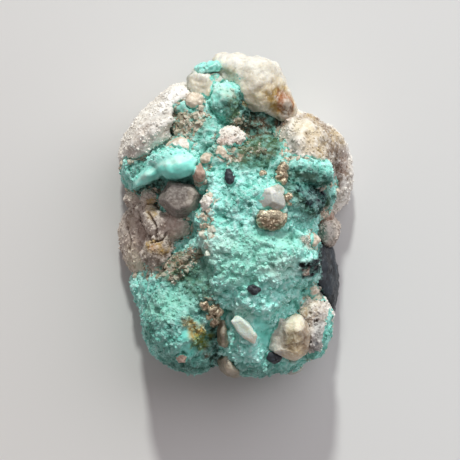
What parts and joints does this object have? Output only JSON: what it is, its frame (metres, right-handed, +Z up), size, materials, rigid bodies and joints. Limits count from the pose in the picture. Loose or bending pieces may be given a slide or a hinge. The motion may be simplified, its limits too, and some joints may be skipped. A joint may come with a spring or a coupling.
{
  "type": "mineral specimen",
  "caption": "Loose hand specimen of turquoise crust that cements sandstone lumps, quartz, a pebble and pyrite onto dark rock; lies flat on its broken back.",
  "frame": {"origin": "middle of the bounding box at the level of the flat resting face", "axes": "+Z up from the resting face to the best face, +Y towards the quartz crest, +X towards the right shoulder"},
  "size_m": [0.0328, 0.0448, 0.0207],
  "materials": {
    "turquoise": "dull waxy crust",
    "dark_rock": "dense, faintly glossy",
    "cream_quartz": "glossy translucent",
    "grey_quartz": "glassy",
    "brown_quartz": "glassy",
    "pale_sandstone": "sugary",
    "brown_sandstone": "granular",
    "grey_stone": "dull",
    "tan_stone": "dull",
    "pyrite": "metallic sparkle"
  },
  "bodies": {
    "root": {"turquoise_mass": "turquoise", "sandstone_block_left": "brown_sandstone", "sandstone_lump_below_slab": "brown_sandstone", "sandstone_shoulder_left": "pale_sandstone", "sandstone_shoulder_right": "pale_sandstone", "dark_host_rock": "dark_rock", "quartz_crest": "cream_quartz", "quartz_chip_by_crest": "grey_quartz", "turquoise_cap": "turquoise", "tan_chip_by_shoulder": "tan_stone", "grey_pebble": "grey_stone", "sandstone_rind_lower_right": "pale_sandstone", "quartz_nodule_lower_right": "cream_quartz", "quartz_nub_at_foot": "grey_quartz", "sandstone_pebble_right": "brown_sandstone", "quartz_vein_upper": "brown_quartz", "quartz_vein_lower": "brown_quartz", "quartz_sliver": "cream_quartz", "quartz_crystal_centre": "grey_quartz", "pyrite_half_disc": "pyrite", "pyrite_pair_right_of_crystal": "pyrite", "pyrite_lump_above_crystal": "pyrite", "pyrite_cluster_at_cleft": "pyrite", "tan_chip_above_slab": "tan_stone", "sparkling_chip_centre": "pale_sandstone", "tan_grain_below_chip": "tan_stone", "round_tan_grain": "tan_stone", "rosy_grain_by_slab": "tan_stone", "sparkling_grain_by_pebble": "pale_sandstone", "dark_grain_upper": "dark_rock", "dark_grain_lower": "dark_rock", "pyrite_grain_left": "pyrite", "pyrite_grain_right": "pyrite", "rosy_grain_right": "tan_stone", "tan_grain_right": "tan_stone", "beige_grain_lower_right": "tan_stone", "rosy_grain_in_lobe": "tan_stone", "dark_grain_at_foot": "dark_rock"}
  },
  "joints": []
}
